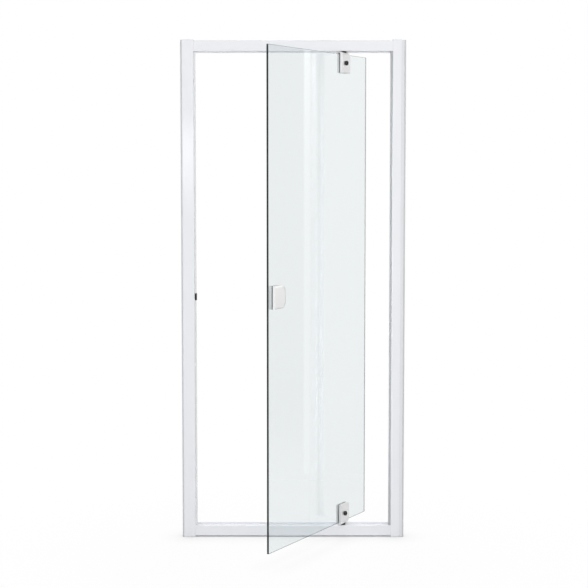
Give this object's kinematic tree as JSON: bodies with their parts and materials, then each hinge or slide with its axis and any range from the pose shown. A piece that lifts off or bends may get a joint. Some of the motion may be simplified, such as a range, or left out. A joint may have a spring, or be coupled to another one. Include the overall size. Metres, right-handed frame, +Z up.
{
  "type": "shower door",
  "caption": "White framed shower door for a recess: a pane of tinted glass with bright plates turns on a top and a bottom pivot, shown standing open.",
  "frame": {"origin": "middle of the sill's underside, in the plane of the closed glass", "axes": "+X along the frame towards the hinge side, +Y into the shower, +Z up"},
  "size_m": [0.895, 0.678, 2],
  "materials": {
    "white_coat": "glossy white powder coat on extruded aluminium",
    "white_plastic": "moulded white plastic",
    "screw_steel": "plain stainless steel",
    "grey_seal": "soft grey sealing strip",
    "black_rubber": "matt black rubber",
    "pane": "clear toughened glass with a pale green-grey tint",
    "bright_metal": "bright polished plate",
    "gasket_grey": "thin dark fibre gasket",
    "core_brass": "machined brass",
    "black_nylon": "black nylon",
    "black_screw": "blackened steel",
    "block_metal": "milled aluminium"
  },
  "bodies": {
    "frame": {"strike_post": "white_coat", "strike_wall_strip": "grey_seal", "hinge_jamb": "white_coat", "head_rail": "white_coat", "sill_rail": "white_coat", "strike_post_cap": "white_plastic", "hinge_jamb_cap": "white_plastic", "head_corner_screws": "screw_steel", "sill_corner_screws": "screw_steel", "jamb_fixing_screws": "screw_steel", "fixing_screw_caps": "white_plastic", "strike_post_plugs": "white_plastic", "strike_seal_upper": "grey_seal", "strike_seal_lower": "grey_seal", "strike_buffer": "black_rubber", "hinge_side_seal": "grey_seal", "top_pivot_bush": "black_nylon", "top_pivot_block": "block_metal", "bottom_pivot_bush": "black_nylon", "bottom_pivot_block": "block_metal"},
    "door": {"door_glass": "pane", "top_hinge_outer_plate": "bright_metal", "top_hinge_inner_plate": "bright_metal", "top_hinge_outer_gasket": "gasket_grey", "top_hinge_inner_gasket": "gasket_grey", "top_hinge_screw": "black_screw", "top_hinge_core": "core_brass", "top_hinge_pin": "screw_steel", "top_hinge_washer": "black_nylon", "bottom_hinge_outer_plate": "bright_metal", "bottom_hinge_inner_plate": "bright_metal", "bottom_hinge_outer_gasket": "gasket_grey", "bottom_hinge_inner_gasket": "gasket_grey", "bottom_hinge_screw": "black_screw", "bottom_hinge_core": "core_brass", "bottom_hinge_pin": "screw_steel", "bottom_hinge_washer": "black_nylon", "pull_outer_plate": "bright_metal", "pull_inner_plate": "bright_metal", "pull_screw": "black_screw", "pull_outer_gasket": "gasket_grey", "pull_inner_gasket": "gasket_grey", "pull_sleeve": "black_nylon"},
    "wall_channel": {"hinge_wall_channel": "white_coat", "hinge_wall_strip": "grey_seal"}
  },
  "joints": [
    {"name": "door_pivot", "type": "hinge", "parent": "frame", "child": "door", "pos_m": [0.203, 0, 0], "axis": [0, 0, 1], "range_deg": [-60, 45]},
    {"name": "width_adjust", "type": "slide", "parent": "frame", "child": "wall_channel", "axis": [1, 0, 0], "range_m": [-0.007, 0.008]}
  ]
}
